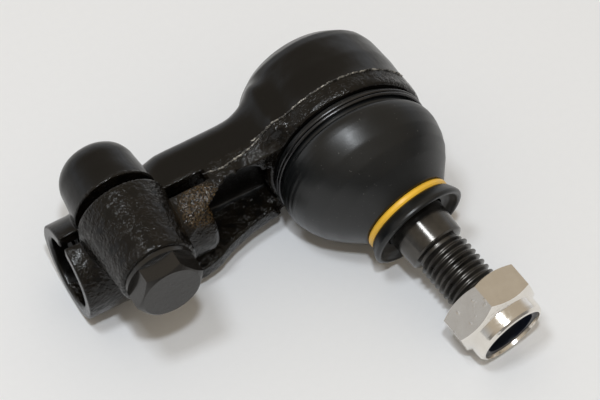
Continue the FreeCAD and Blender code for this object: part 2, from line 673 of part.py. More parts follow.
def make_lock_nut():
    """Hexagon nut with a collar rolled over its nylon insert."""
    body = new_body("lock_nut")
    sketch = new_sketch(body, "hexagon", "XZ_Plane", (0, 0, -NUT_BACK))
    draw_hexagon(sketch, dim.nut_af, dim.nut_clocking)
    pad_or_cut(body, "Pad", "hexagon_pad", sketch, dim.nut_height)
    flat, corner = half(dim.nut_af), half(dim.nut_af) * 1.2
    hex_end = NUT_BACK - dim.nut_hex
    turn(body, "back_chamfer", [(flat - 0.3, NUT_BACK + 0.01), (corner, NUT_BACK + 0.01),
                                (corner, NUT_BACK - 1.2)], "Groove")
    turn(body, "collar", [
        (half(dim.nut_collar_dia) - 1.3, NUT_FRONT - 0.01),
        (half(dim.nut_collar_dia) - 0.55, NUT_FRONT + 0.25),
        (half(dim.nut_collar_dia) - 0.12, NUT_FRONT + 0.75),
        (half(dim.nut_collar_dia), NUT_FRONT + 1.5),
        (half(dim.nut_collar_dia), hex_end - 0.5),
        (flat - 0.2, hex_end),
        (corner, hex_end + 1.3),
        (corner, NUT_FRONT - 0.01),
    ], "Groove")
    minor = half(dim.stud_thread_dia) - dim.thread_depth + dim.thread_gap * 2
    insert = half(dim.insert_dia) + dim.insert_gap
    turn(body, "bore", [
        (0, NUT_BACK + 1),
        (half(dim.stud_thread_dia) + 0.5, NUT_BACK + 1),
        (half(dim.stud_thread_dia) + 0.5, NUT_BACK),
        (minor, NUT_BACK - 1.2),
        (minor, INSERT_BACK),
        (insert, INSERT_BACK),
        (insert, INSERT_FRONT),
        (half(dim.nut_mouth_dia), INSERT_FRONT),
        (half(dim.nut_mouth_dia) + 0.3, NUT_FRONT - 1),
        (0, NUT_FRONT - 1),
    ], "Groove")
    turns_below = 4
    start = STUD_THREAD_START + half(dim.stud_pitch) - dim.stud_pitch * turns_below
    section = inner_groove(start, dim.stud_thread_dia, dim.thread_depth, dim.stud_pitch, dim.thread_gap)
    cut_thread(body, "thread", section, dim.stud_pitch, NUT_BACK - start + 2)
    return body


def make_nut_insert():
    """Nylon ring inside the nut's collar."""
    body = new_body("nut_insert")
    outer, inner = half(dim.insert_dia), half(dim.insert_bore)
    turn(body, "ring", [
        (inner, INSERT_FRONT + 0.05),
        (outer, INSERT_FRONT + 0.05),
        (outer, INSERT_BACK - 0.05),
        (inner, INSERT_BACK - 0.05),
    ])
    return body


def make_clamp_bolt():
    """Hexagon bolt along its own Y axis, head in front, thread at the back."""
    body = new_body("clamp_bolt")
    sketch = new_sketch(body, "hexagon", "XZ_Plane", (0, 0, -BOLT_SEAT))
    draw_hexagon(sketch, dim.bolt_af, dim.bolt_clocking)
    pad_or_cut(body, "Pad", "head", sketch, dim.bolt_head)
    face = new_sketch(body, "washer_face", "XZ_Plane", (0, 0, -BOLT_SEAT))
    draw_circle(face, 0, 0, dim.bolt_washer_dia)
    pad_or_cut(body, "Pad", "washer", face, dim.bolt_washer)
    front = BOLT_SEAT - dim.bolt_head
    flat, corner = half(dim.bolt_af), half(dim.bolt_af) * 1.2
    turn(body, "head_chamfer", [(flat - 0.3, front - 0.01), (corner, front - 0.01),
                                (corner, front + 1.1)], "Groove")
    thread = half(dim.bolt_dia)
    turn(body, "shank", [
        (0, BOLT_SEAT - 1),
        (thread, BOLT_SEAT - 1),
        (thread, BOLT_END - 1),
        (thread - 1, BOLT_END),
        (0, BOLT_END),
    ])
    section = outer_groove(BOLT_THREAD_START, dim.bolt_dia, dim.bolt_thread_depth, dim.bolt_pitch)
    cut_thread(body, "thread", section, dim.bolt_pitch, BOLT_END - BOLT_THREAD_START + 1)
    return body


# ---------------------------------------------------------------- boot and its rings

def stud_turn(share=1.0):
    """Rotation about the ball's centre that tilts -Y towards the stud, by a share of its tilt."""
    sideways = FreeCAD.Rotation(Z_AXIS, dim.swing_side.value * share)
    downwards = FreeCAD.Rotation(X_AXIS, dim.swing_down.value * share)
    return sideways.multiply(downwards)


def boot_loft(name, stations):
    """Solid through rings (distance from the ball, radius, share of the stud's tilt)."""
    facing = FreeCAD.Rotation(X_AXIS, 90)
    rings = []
    for number, (distance, radius, share) in enumerate(stations):
        ring = doc.addObject("Part::Circle", "%s_ring_%d" % (name, number))
        ring.setExpression("Radius", size(radius).text)
        tilt = stud_turn(share)
        centre = tilt.multVec(V(0, -size(distance).value, 0))
        ring.Placement = FreeCAD.Placement(centre, tilt.multiply(facing))
        rings.append(ring)
    loft = doc.addObject("Part::Loft", name)
    loft.Sections = rings
    loft.Solid = True
    loft.Ruled = True
    doc.recompute()
    return loft


def make_dust_boot():
    """Rubber boot: cuff on the spigot, bulged wall, ring groove and flared lip on the stud."""
    wide = half(dim.boot_dia)
    cuff = half(dim.cuff_dia)
    groove = half(dim.ring_dia) - dim.ring_thick - 0.05
    ring_back = dim.ring_at - half(dim.ring_width) - 0.05
    ring_front = dim.ring_at + half(dim.ring_width) + 0.05
    tip = half(dim.boot_tip_dia)
    cuff_end = dim.wire_at + dim.wire_pitch * dim.wire_turns + 0.7
    outer = boot_loft("boot_outside", [
        (dim.cup_front + 0.1, cuff, 0),
        (cuff_end, cuff, 0.04),
        (cuff_end + 0.9, wide - 0.4, 0.15),
        (12.0, wide, 0.22),
        (14.0, wide - 0.2, 0.32),
        (16.5, wide - 0.9, 0.5),
        (19.0, wide - 2.2, 0.65),
        (21.5, wide - 4.2, 0.8),
        (23.6, wide - 6.3, 0.92),
        (ring_back - 0.1, groove + 1.5, 1),
        (ring_back, groove, 1),
        (ring_front, groove, 1),
        (ring_front + 0.1, groove + 0.8, 1),
        (ring_front + 1.0, tip - 0.4, 1),
        (dim.boot_tip - 0.8, tip, 1),
        (dim.boot_tip, tip - 0.6, 1),
    ])
    wall = dim.boot_wall
    bead = half(dim.groove_dia) + 0.05
    lip = half(dim.spigot_dia) + 0.1
    bore = half(dim.boot_bore)
    inner = boot_loft("boot_inside", [
        (dim.cup_front - 1, bead, 0),
        (dim.cup_front + dim.groove_len - 0.35, bead, 0),
        (dim.cup_front + dim.groove_len - 0.05, lip, 0),
        (dim.cup_front + dim.spigot_len + 0.3, lip, 0.04),
        (cuff_end + 1.4, wide - wall, 0.15),
        (14.0, wide - wall - 0.2, 0.32),
        (16.5, wide - wall - 0.9, 0.5),
        (19.0, wide - wall - 2.3, 0.65),
        (21.5, wide - wall - 4.5, 0.8),
        (23.6, wide - wall - 7.0, 0.92),
        (ring_back, bore + 0.4, 1),
        (ring_front, bore, 1),
        (dim.boot_tip - 1.9, bore, 1),
        (dim.boot_tip + 0.3, bore + 2.5, 1),
    ])
    boot = doc.addObject("Part::Cut", "dust_boot")
    boot.Label = "dust_boot"
    boot.Base = outer
    boot.Tool = inner
    doc.recompute()
    return boot


def make_boot_clamp_ring():
    """Open coil of round wire round the boot's cuff."""
    body = new_body("boot_clamp_ring")
    length = dim.wire_pitch * dim.wire_turns
    sketch = new_sketch(body, "wire_section", "XY_Plane")
    draw_circle(sketch, half(dim.wire_ring_dia), -dim.wire_at - length, dim.wire_dia)
    new_feature(body, "AdditiveHelix", "coil", sketch, ReferenceAxis=(sketch, ["V_Axis"]), Mode=0,
                Growth=0, Angle=0, LeftHanded=False, Pitch=dim.wire_pitch, Height=length)
    return body


def make_boot_neck_ring():
    """Coloured elastic ring in the groove at the boot's small end."""
    body = new_body("boot_neck_ring")
    outer = half(dim.ring_dia)
    inner = outer - dim.ring_thick
    back = -dim.ring_at + half(dim.ring_width)
    front = -dim.ring_at - half(dim.ring_width)
    turn(body, "ring", [(inner, front), (outer - 0.3, front), (outer, front + 0.4),
                        (outer, back - 0.4), (outer - 0.3, back), (inner, back)])
    return body


# ---------------------------------------------------------------- putting it together

def clamp_rim():
    """Lowest edge of the clamp: the end face's rim."""
    return Part.makeCircle(half(dim.arm_dia).value, V(CLAMP_END.value, FORGING_PLANE.value, 0), X_AXIS)


def cup_rims():
    """Lowest edges of the cup: both rims of its band."""
    radius = half(dim.band_dia).value
    rims = []
    for place in (CUP_FRONT + 0.8, BAND_BACK):
        rims.append(Part.makeCircle(radius, V(0, place.value, 0), Y_AXIS))
    return Part.Compound(rims)


def height_of(shape, turned):
    """Lowest point of a shape after a rotation about the ball's centre."""
    copy = shape.copy()
    copy.Placement = FreeCAD.Placement(ORIGIN, turned).multiply(copy.Placement)
    return copy.optimalBoundingBox(False).ZMin


def lying_rotation(nut_shape):
    """Pitch and roll that put clamp, cup and nut on one level."""
    clamp, cup = clamp_rim(), cup_rims()

    def turned(pitch, roll):
        return FreeCAD.Rotation(Y_AXIS, pitch).multiply(FreeCAD.Rotation(X_AXIS, roll))

    def steps(pitch, roll):
        pose = turned(pitch, roll)
        level = height_of(cup, pose)
        return height_of(clamp, pose) - level, height_of(nut_shape, pose) - level

    pitch, roll, nudge = -7.0, 1.0, 0.01
    for _ in range(8):
        clamp_step, nut_step = steps(pitch, roll)
        clamp_pitch, nut_pitch = steps(pitch + nudge, roll)
        clamp_roll, nut_roll = steps(pitch, roll + nudge)
        a, b = (clamp_pitch - clamp_step) / nudge, (clamp_roll - clamp_step) / nudge
        c, d = (nut_pitch - nut_step) / nudge, (nut_roll - nut_step) / nudge
        scale = a * d - b * c
        pitch -= (d * clamp_step - b * nut_step) / scale
        roll -= (a * nut_step - c * clamp_step) / scale
    print("lying: pitch %.3f roll %.3f" % (pitch, roll))
    return turned(pitch, roll)


def main():
    os.makedirs("parts", exist_ok=True)
    fixed = [make_housing(), make_front_seat(), make_pressure_seat(), make_preload_spring(),
             make_end_cover(), make_boot_clamp_ring(), make_dust_boot()]
    bolt = make_clamp_bolt()
    nut = make_lock_nut()
    on_stud = [make_ball_stud(), make_boot_neck_ring(), nut, make_nut_insert()]
    for piece in on_stud:
        piece.Placement = FreeCAD.Placement(ORIGIN, stud_turn())
    bolt.Placement = FreeCAD.Placement(V(LUG_X.value, 0, dim.lug_height.value), FreeCAD.Rotation())
    pieces = fixed + [bolt] + on_stud
    doc.recompute()

    lying = FreeCAD.Placement(ORIGIN, lying_rotation(nut.Shape))
    for piece in pieces:
        piece.Placement = lying.multiply(piece.Placement)
    doc.recompute()
    box = Part.Compound([piece.Shape for piece in pieces]).optimalBoundingBox(False)
    down = FreeCAD.Placement(V(-box.Center.x, -box.Center.y, -box.ZMin), FreeCAD.Rotation())
    for piece in pieces:
        piece.Placement = down.multiply(piece.Placement)
    doc.recompute()
    report_frame(down.multiply(lying), box)

    check_document(pieces)
    for piece in pieces:
        piece.Shape.exportStep("parts/%s.step" % piece.Label)
        print("%-16s %9.1f mm3" % (piece.Label, piece.Shape.Volume))


def report_frame(place, box):
    """Print where the ball, the stud, the clamp and the bolt lie once the part rests."""
    stud = stud_turn()
    points = [
        ("ball", ORIGIN, -Y_AXIS),
        ("stud", ORIGIN, stud.multVec(-Y_AXIS)),
        ("swing_side", ORIGIN, Z_AXIS),
        ("swing_down", ORIGIN, FreeCAD.Rotation(Z_AXIS, dim.swing_side.value).multVec(X_AXIS)),
        ("taper_end", stud.multVec(V(0, -dim.taper_end.value, 0)), stud.multVec(-Y_AXIS)),
        ("nut_back", stud.multVec(V(0, NUT_BACK.value, 0)), stud.multVec(-Y_AXIS)),
        ("clamp_end", V(CLAMP_END.value, FORGING_PLANE.value, 0), -X_AXIS),
        ("bolt_seat", V(LUG_X.value, BOLT_SEAT.value, dim.lug_height.value), -Y_AXIS),
    ]
    for name, point, direction in points:
        at = place.multVec(point)
        along = place.Rotation.multVec(direction)
        print("%-10s at %.4f %.4f %.4f along %.6f %.6f %.6f" % (name, *at, *along))
    print("box %.3f x %.3f x %.3f" % (box.XLength, box.YLength, box.ZLength))


def check_document(pieces):
    """Stop before writing anything if an object failed or a shape is unsound."""
    for item in doc.Objects:
        if "Invalid" in item.State or "Error" in item.State:
            raise RuntimeError("%s is %s" % (item.Name, item.State))
    for piece in pieces:
        shape = piece.Shape
        if shape.isNull() or not shape.isValid() or len(shape.Solids) != 1:
            raise RuntimeError("%s has no sound solid" % piece.Label)


main()
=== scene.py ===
import json
import math

import bpy
import numpy as np
from mathutils import Matrix, Vector
from mathutils.bvhtree import BVHTree


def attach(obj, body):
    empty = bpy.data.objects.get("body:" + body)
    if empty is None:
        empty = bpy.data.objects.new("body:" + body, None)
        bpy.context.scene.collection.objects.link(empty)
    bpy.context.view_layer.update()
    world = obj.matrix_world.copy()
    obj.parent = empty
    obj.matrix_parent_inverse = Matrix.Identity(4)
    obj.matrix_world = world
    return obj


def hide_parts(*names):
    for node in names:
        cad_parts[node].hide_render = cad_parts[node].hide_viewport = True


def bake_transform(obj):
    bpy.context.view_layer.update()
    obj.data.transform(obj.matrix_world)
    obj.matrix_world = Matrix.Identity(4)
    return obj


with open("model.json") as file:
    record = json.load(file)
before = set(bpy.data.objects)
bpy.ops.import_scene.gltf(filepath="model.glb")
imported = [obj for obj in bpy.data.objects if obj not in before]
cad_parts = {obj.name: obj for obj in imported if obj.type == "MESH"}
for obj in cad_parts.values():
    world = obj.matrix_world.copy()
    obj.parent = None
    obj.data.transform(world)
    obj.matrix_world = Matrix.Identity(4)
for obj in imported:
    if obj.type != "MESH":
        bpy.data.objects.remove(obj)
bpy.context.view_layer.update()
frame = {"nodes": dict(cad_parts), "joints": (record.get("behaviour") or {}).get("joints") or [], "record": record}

# Lengths in this script are millimetres in the ball's own frame: origin at the ball's centre,
# +X from the clamp to the cup, the cup's mouth towards -Y, +Z on the side of the clamp lugs.
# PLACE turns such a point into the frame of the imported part, in metres.
MM = 0.001

# ---------------------------------------------------------------- places read from the frame


def joint(name):
    """The frame's joint of that name."""
    return next(j for j in frame["joints"] if j["name"] == name)


def mount(name):
    """The record's mount of that name."""
    return next(m for m in frame["record"]["mounts"] if m["name"] == name)


def frame_matrix(origin, along_x, along_z):
    """Frame with the given origin and axes, from millimetres to metres."""
    x, z = along_x.normalized(), along_z.normalized()
    turn = Matrix((x, z.cross(x), z)).transposed().to_4x4()
    return Matrix.Translation(origin) @ turn @ Matrix.Scale(MM, 4)


BALL = Vector(joint("stud_spin")["pos_m"])
STUD = Vector(joint("stud_spin")["axis"]).normalized()
PLACE = frame_matrix(BALL, -Vector(mount("rod_socket")["axis"]), Vector(joint("stud_swing_side")["axis"]))

STUD_HERE = (PLACE.inverted().to_3x3() @ STUD).normalized()
TILT_SIDE = math.atan2(STUD_HERE.x, -STUD_HERE.y)
TILT_DOWN = math.asin(-STUD_HERE.z)


def tilt(share):
    """Rotation from the cup's axis towards the stud's, by a share of the stud's tilt at rest."""
    return Matrix.Rotation(TILT_SIDE * share, 4, "Z") @ Matrix.Rotation(TILT_DOWN * share, 4, "X")


CUP_AXIS = (PLACE.to_3x3() @ Vector((0, 1, 0))).normalized()
ARM_AXIS = (PLACE.to_3x3() @ Vector((1, 0, 0))).normalized()
LUG_AXIS = (PLACE.to_3x3() @ Vector((0, 0, 1))).normalized()

# The forging plane, where the clamp's slot is cut, and the slot's closed end along the arm.
CLAMP_LINE = -4.2
SLOT_END = -32.8

# The cup's rough band in front of its flash line: from start to full strength, going forward.
BAND_START = 1.6
BAND_FULL = 2.4


# ---------------------------------------------------------------- node helpers

class Nodes:
    """A material's node tree, with short ways to add and link nodes."""

    def __init__(self, name):
        self.material = bpy.data.materials.new(name)
        self.material.use_nodes = True
        self.tree = self.material.node_tree
        self.tree.nodes.clear()
        self.shader = self.add("ShaderNodeBsdfPrincipled")
        output = self.add("ShaderNodeOutputMaterial")
        self.link(self.shader.outputs[0], output.inputs["Surface"])
        self.position = self.add("ShaderNodeTexCoord").outputs["Object"]

    def add(self, kind, **values):
        node = self.tree.nodes.new(kind)
        for name, value in values.items():
            setattr(node, name, value)
        return node

    def link(self, source, target):
        if isinstance(source, (int, float)):
            target.default_value = source
        elif isinstance(source, tuple):
            target.default_value = source
        else:
            self.tree.links.new(source, target)

    def noise(self, scale, detail=2.0, roughness=0.5, vector=None):
        """Noise value, scale in cycles per millimetre."""
        node = self.add("ShaderNodeTexNoise")
        node.inputs["Scale"].default_value = scale / MM
        node.inputs["Detail"].default_value = detail
        node.inputs["Roughness"].default_value = roughness
        self.link(vector or self.position, node.inputs["Vector"])
        return node.outputs["Fac"]

    def math(self, operation, a, b=0.0, clamp=False):
        node = self.add("ShaderNodeMath", operation=operation, use_clamp=clamp)
        self.link(a, node.inputs[0])
        self.link(b, node.inputs[1])
        return node.outputs[0]

    def spread(self, value, low, high, to_low=0.0, to_high=1.0):
        """Map a value from one range to another, smoothly and without overshoot."""
        node = self.add("ShaderNodeMapRange", interpolation_type="SMOOTHSTEP")
        self.link(value, node.inputs["Value"])
        ends = {"From Min": low, "From Max": high, "To Min": to_low, "To Max": to_high}
        for name, number in ends.items():
            node.inputs[name].default_value = number
        return node.outputs["Result"]

    def mix_colour(self, factor, first, second):
        node = self.add("ShaderNodeMix", data_type="RGBA")
        self.link(factor, node.inputs["Factor"])
        self.link(colour(first), node.inputs["A"])
        self.link(colour(second), node.inputs["B"])
        return node.outputs["Result"]

    def near(self, point, reach):
        """1 at a point of the part, in metres, falling to 0 at reach millimetres."""
        away = self.add("ShaderNodeVectorMath", operation="DISTANCE")
        self.link(self.position, away.inputs[0])
        away.inputs[1].default_value = point
        return self.spread(away.outputs["Value"], reach * MM, 0.0)

    def measure_along(self, origin, axis):
        """Millimetres from origin along an axis, both in the part's frame."""
        shifted = self.vector_math("SUBTRACT", self.position, origin)
        return self.math("MULTIPLY", self.vector_math("DOT_PRODUCT", shifted, axis), 1 / MM)

    def measure_away(self, origin, axis):
        """Millimetres from the line through origin along an axis."""
        shifted = self.vector_math("SUBTRACT", self.position, origin)
        across = self.vector_math("CROSS_PRODUCT", shifted, axis)
        return self.math("MULTIPLY", self.vector_math("LENGTH", across, (0, 0, 0)), 1 / MM)

    def vector_math(self, operation, a, b):
        node = self.add("ShaderNodeVectorMath", operation=operation)
        self.link(a, node.inputs[0])
        self.link(tuple(b), node.inputs[1])
        return node.outputs["Value" if operation in ("DOT_PRODUCT", "LENGTH") else "Vector"]

    def bump(self, height, strength, distance, below=None):
        node = self.add("ShaderNodeBump")
        self.link(strength, node.inputs["Strength"])
        node.inputs["Distance"].default_value = distance * MM
        self.link(height, node.inputs["Height"])
        if below is not None:
            self.link(below, node.inputs["Normal"])
        return node.outputs["Normal"]

    def finish(self, **sockets):
        for name, value in sockets.items():
            self.link(colour(value), self.shader.inputs[name.replace("_", " ")])
        return self.material


def colour(value):
    """Three numbers become an opaque colour; anything else stays."""
    if isinstance(value, tuple) and len(value) == 3:
        return (*value, 1.0)
    return value


# Rough spots of the forging: a point near each, its reach in millimetres and its strength.
ROUGH_SPOTS = [
    ((-34.0, -9.0, 9.8), 6.5, 1.0),
    ((-29.5, -7.4, 10.8), 3.0, 0.7),
    ((-53.5, -9.2, 23.6), 5.0, 1.0),
    ((-54.0, -14.0, 23.4), 4.5, 0.8),
    ((-55.3, -18.8, 22.8), 5.5, 1.0),
    ((-22.8, -5.4, -7.6), 4.5, 1.0),
    ((-65.0, -8.0, 10.4), 5.0, 0.7),
    ((-27.0, -7.0, -5.0), 5.0, 0.8),
    ((-39.0, -13.0, -7.6), 6.0, 0.5),
]
# Centre of one brown patch mixed into the paint's base colour.
BROWN_PATCH = (-37.2, -9.8, 9.4)


def forged_black():
    """Glossy black paint over forging scale, with glittering rough spots, one brown patch, and painted shade in
    the clamp's slot.
    """
    n = Nodes("forged_black")
    along = n.measure_along(BALL, CUP_AXIS)
    away = n.measure_away(BALL, CUP_AXIS)
    band = n.math("MULTIPLY", n.spread(along, -BAND_START, -BAND_FULL), n.spread(away, 18.2, 18.7))
    rough = n.math("MULTIPLY", band, 0.9)
    for spot, reach, strength in ROUGH_SPOTS:
        near = n.math("MULTIPLY", n.near(PLACE @ Vector(spot), reach), strength)
        rough = n.math("MAXIMUM", rough, near)
    rough = n.math("MULTIPLY", rough, n.spread(n.noise(0.5, 3.0), 0.30, 0.62))
    # A brown patch in the base colour, broken up by noise.
    brown_patch = n.spread(n.near(PLACE @ Vector(BROWN_PATCH), 9.0), 0.25, 0.6)
    brown_patch = n.math("MULTIPLY", brown_patch, n.spread(n.noise(2.2, 4.0, 0.7), 0.40, 0.66))
    # Painted shade: on the lugs' side of the clamp's slot the walls lose nearly all their shine, so the narrow gap
    # reads dark.
    beside_slot = n.math("ABSOLUTE", n.math("ADD", along, -CLAMP_LINE))
    before_end = n.spread(n.measure_along(BALL, ARM_AXIS), SLOT_END + 0.2, SLOT_END - 0.2)
    slot = n.math("MULTIPLY", n.spread(beside_slot, 1.55, 1.30), before_end)
    slot = n.math("MULTIPLY", slot, n.spread(n.measure_along(BALL, LUG_AXIS), 0.0, 1.0))
    normal = n.bump(n.noise(0.28, 2.0), 0.3, 0.3)
    normal = n.bump(n.noise(1.3, 2.0, 0.6), n.spread(rough, 0.0, 0.6, 0.06, 1.0), 0.34, normal)
    normal = n.bump(n.noise(3.2, 1.0, 0.6), n.spread(rough, 0.0, 0.6, 0.02, 1.0), 0.06, normal)
    dust = n.spread(n.noise(1.6, 4.0, 0.7), 0.68, 0.74)
    base = n.mix_colour(rough, (0.0022, 0.0019, 0.0016), (0.006, 0.0045, 0.003))
    base = n.mix_colour(brown_patch, base, (0.075, 0.046, 0.018))
    base = n.mix_colour(n.math("MULTIPLY", dust, 0.25), base, (0.10, 0.085, 0.065))
    # The paint's shine falls from 0.31 to 0.03 inside the slot: painted shade.
    return n.finish(Base_Color=base, Roughness=n.spread(rough, 0.1, 0.5, 0.26, 0.11),
                    Specular_IOR_Level=n.spread(slot, 0.0, 1.0, 0.31, 0.03), Normal=normal)


def flash_metal():
    """The flash ridge, rubbed bright in places."""
    n = Nodes("flash_metal")
    worn = n.spread(n.noise(0.6, 4.0, 0.75), 0.47, 0.60)
    return n.finish(Base_Color=n.mix_colour(worn, (0.006, 0.005, 0.004), (0.42, 0.40, 0.36)),
                    Metallic=n.math("MULTIPLY", worn, 0.8), Roughness=0.32,
                    Normal=n.bump(n.noise(3.0, 2.0), 0.6, 0.2))


def boot_rubber():
    """Slightly shiny moulded rubber with dust specks and faint rub marks."""
    n = Nodes("boot_rubber")
    fine = n.noise(2.6, 3.0, 0.6)
    broad = n.noise(0.16, 3.0)
    specks = n.spread(n.noise(1.9, 2.0, 0.5), 0.71, 0.76)
    base = n.mix_colour(n.math("MULTIPLY", specks, 0.45), (0.0042, 0.0050, 0.0056), (0.16, 0.16, 0.15))
    normal = n.bump(fine, 0.10, 0.10)
    rough = n.spread(broad, 0.3, 0.7, 0.29, 0.38)
    return n.finish(Base_Color=base, Roughness=rough, Specular_IOR_Level=0.5, Normal=normal)


def plain(name, base, rough, metal=0.0, grain=1.5, height=0.1, worn=0.75):
    """One finish with a fine grain in its colour, shine and surface."""
    n = Nodes(name)
    value = n.noise(grain, 3.0)
    broad = n.noise(grain * 0.12, 3.0)
    shade = tuple(channel * worn for channel in base)
    return n.finish(Base_Color=n.mix_colour(n.spread(broad, 0.35, 0.65), base, shade), Metallic=metal,
                    Roughness=n.spread(broad, 0.3, 0.7, rough * 0.85, rough * 1.2),
                    Normal=n.bump(value, 0.3, height * 0.3))


def zinc_plate():
    """Bright zinc with a faint yellow cast, fine tumbling marks and small dents."""
    n = Nodes("zinc_nut")
    marks = n.noise(1.6, 4.0, 0.6)
    dents = n.spread(n.noise(0.55, 2.0), 0.62, 0.75)
    base = n.mix_colour(n.noise(0.3, 3.0), (0.90, 0.87, 0.82), (0.76, 0.72, 0.66))
    normal = n.bump(dents, 0.25, -0.12)
    normal = n.bump(marks, 0.12, 0.06, normal)
    return n.finish(Base_Color=base, Metallic=1.0, Roughness=n.spread(marks, 0.3, 0.7, 0.12, 0.22),
                    Normal=normal)


TAPER_END = 37.2


def oiled_steel():
    """Black oxide steel, wet with oil, with turning marks round the stud."""
    n = Nodes("stud_steel")
    along = n.measure_along(BALL, STUD)
    rings = n.add("ShaderNodeTexNoise", noise_dimensions="1D")
    rings.inputs["Scale"].default_value = 5.0
    rings.inputs["Detail"].default_value = 3.0
    n.link(along, rings.inputs["W"])
    oil = n.noise(0.22, 3.0)
    base = n.mix_colour(n.spread(oil, 0.35, 0.65), (0.050, 0.048, 0.045), (0.095, 0.090, 0.083))
    normal = n.bump(rings.outputs["Fac"], 0.12, 0.05)
    normal = n.bump(n.noise(1.8, 3.0), 0.10, 0.08, normal)
    shine = n.spread(oil, 0.3, 0.7, 0.12, 0.22)
    thread = n.spread(along, TAPER_END, TAPER_END + 0.6, 0.0, 0.14)
    return n.finish(Base_Color=base, Metallic=0.85, Roughness=n.math("ADD", shine, thread),
                    Normal=normal)


FORGED = forged_black()
RUBBER = boot_rubber()
MATERIALS = {
    "housing": FORGED,
    "dust_boot": RUBBER,
    "front_seat": plain("bearing_plastic", (0.78, 0.76, 0.70), 0.45),
    "pressure_seat": plain("bearing_plastic_back", (0.76, 0.74, 0.69), 0.45),
    "preload_spring": plain("spring_steel", (0.3, 0.29, 0.28), 0.3, 1.0),
    "end_cover": plain("cover_black", (0.006, 0.0055, 0.005), 0.3, 0.0, 0.8, 0.4),
    "boot_clamp_ring": plain("ring_wire", (0.07, 0.07, 0.072), 0.26, 1.0),
    "boot_neck_ring": plain("ring_yellow", (0.93, 0.54, 0.045), 0.38, worn=0.9),
    "ball_stud": oiled_steel(),
    "lock_nut": zinc_plate(),
    "nut_insert": plain("insert_nylon", (0.008, 0.013, 0.03), 0.35),
    "clamp_bolt": plain("bolt_black", (0.013, 0.0115, 0.010), 0.26, 0.0, 0.9, 0.5),
}

for node, material in MATERIALS.items():
    mesh = frame["nodes"][node].data
    mesh.materials.clear()
    mesh.materials.append(material)

# ---------------------------------------------------------------- mesh helpers


def lattice_noise(points, period, seed):
    """Smooth noise from -1 to 1 at each point, with features about one period wide."""
    table = np.random.default_rng(seed).uniform(-1, 1, 4096)
    cell = np.floor(points / period).astype(np.int64)
    part = points / period - cell
    part = part * part * (3 - 2 * part)
    total = np.zeros(len(points))
    for corner in np.ndindex(2, 2, 2):
        key = cell + corner
        value = table[(key[:, 0] * 73856093 ^ key[:, 1] * 19349663 ^ key[:, 2] * 83492791) % 4096]
        total += value * np.prod(np.where(corner, part, 1 - part), axis=1)
    return total


def ramp(value, low, high):
    """0 below low, 1 above high, smooth between."""
    share = np.clip((value - low) / (high - low), 0, 1)
    return share * share * (3 - 2 * share)


def read_points(mesh):
    """Positions of the mesh's vertices, one row each."""
    return np.array([v.co for v in mesh.vertices])


def write_points(mesh, points):
    """Move the mesh's vertices to the given rows."""
    mesh.vertices.foreach_set("co", points.astype(np.float32).ravel())
    mesh.update()


def read_normals(mesh):
    """Normals at the mesh's vertices, one row each."""
    normals = np.empty(len(mesh.vertices) * 3, np.float32)
    mesh.vertices.foreach_get("normal", normals)
    return normals.reshape(-1, 3).astype(float)


def show(name, mesh, material):
    """An object for a finished mesh in millimetres, placed in the part's frame."""
    mesh.transform(PLACE)
    mesh.materials.clear()
    mesh.materials.append(material)
    mesh.shade_smooth()
    thing = bpy.data.objects.new(name, mesh)
    bpy.context.scene.collection.objects.link(thing)
    return thing


# ---------------------------------------------------------------- forged housing

VOXEL = 0.3

# Machined places of the housing, kept as cut: the clamp lugs' bolt axis (x, z), then radii and ends.
LUG = (-53.85, 13.6)
BOLT_CLEAR = 5.8
LUG_FACE = -23.2
SOCKET_CLEAR = 9.3
SOCKET_INNER_END = -37.5
CLAMP_FACE = -67.9
SLOT_CLEAR = 1.8
SPIGOT_CLEAR = 17.0
SPIGOT_BACK = -5.8
CAVITY_CLEAR = 15.7
CAVITY_FRONT = -10.5

# Smoothing rounds: whole skin, root of the arm, and fillets in inner corners.
SKIN_ROUNDS = 5
ROOT_ROUNDS = 70
FILLET_ROUNDS = 14
FILLET_STEPS = 6
PULL = 0.6


def forged_zone(points):
    """1 on forged skin, 0 on what is cut: socket, slot, bolt hole, spigot, cavity and faces."""
    x, y, z = points.T
    from_clamp = np.hypot(y - CLAMP_LINE, z)
    from_lug = np.hypot(x - LUG[0], z - LUG[1])
    from_cup = np.hypot(x, z)
    zone = np.ones(len(points))
    zone[(from_clamp < SOCKET_CLEAR) & (x < SOCKET_INNER_END)] = 0
    zone[x < CLAMP_FACE] = 0
    zone[(abs(y - CLAMP_LINE) < SLOT_CLEAR) & (x < SLOT_END) & (z > -1)] = 0
    zone[from_lug < BOLT_CLEAR] = 0
    zone[y < LUG_FACE] = 0
    zone[(from_cup < SPIGOT_CLEAR) & (y < SPIGOT_BACK)] = 0
    zone[(from_cup < CAVITY_CLEAR) & (y > CAVITY_FRONT)] = 0
    return zone


def neighbour_mean(values, first, second, count, size):
    """Mean of each point's neighbours along the edges."""
    total = np.zeros((size, values.shape[1]))
    for axis in range(values.shape[1]):
        total[:, axis] += np.bincount(first, values[second, axis], size)
        total[:, axis] += np.bincount(second, values[first, axis], size)
    return total / count[:, None]


